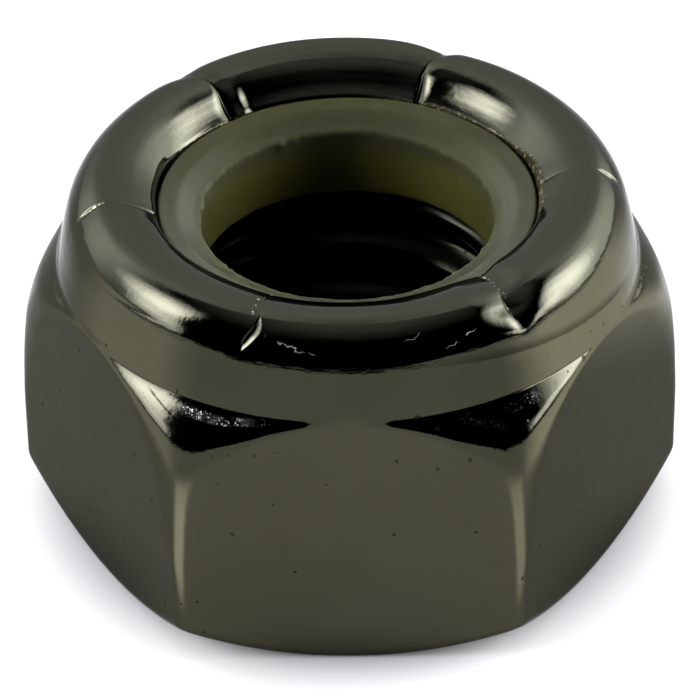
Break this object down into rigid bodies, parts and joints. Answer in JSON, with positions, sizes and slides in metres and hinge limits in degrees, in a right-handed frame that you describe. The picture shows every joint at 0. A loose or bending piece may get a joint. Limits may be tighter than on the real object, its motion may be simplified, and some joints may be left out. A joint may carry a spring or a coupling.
{
  "type": "nylon insert lock nut",
  "caption": "Hexagonal steel lock nut with a chamfered bearing face and a round collar rolled over a captive nylon ring that grips the bolt's thread.",
  "frame": {"origin": "centre of the flat bearing face at the bottom of the nut, on the thread axis", "axes": "+Z along the thread axis from the bearing face to the nylon ring, +X through a hexagon corner, -Y out of a flat"},
  "size_m": [0.0146, 0.0126, 0.0084],
  "materials": {
    "plated_steel": "bright dark plating over cold-formed steel, with small pits and fine tool marks",
    "nylon": "milky natural nylon, slightly translucent, satin"
  },
  "bodies": {
    "root": {"nut_body": "plated_steel", "nylon_insert": "nylon"}
  },
  "joints": []
}
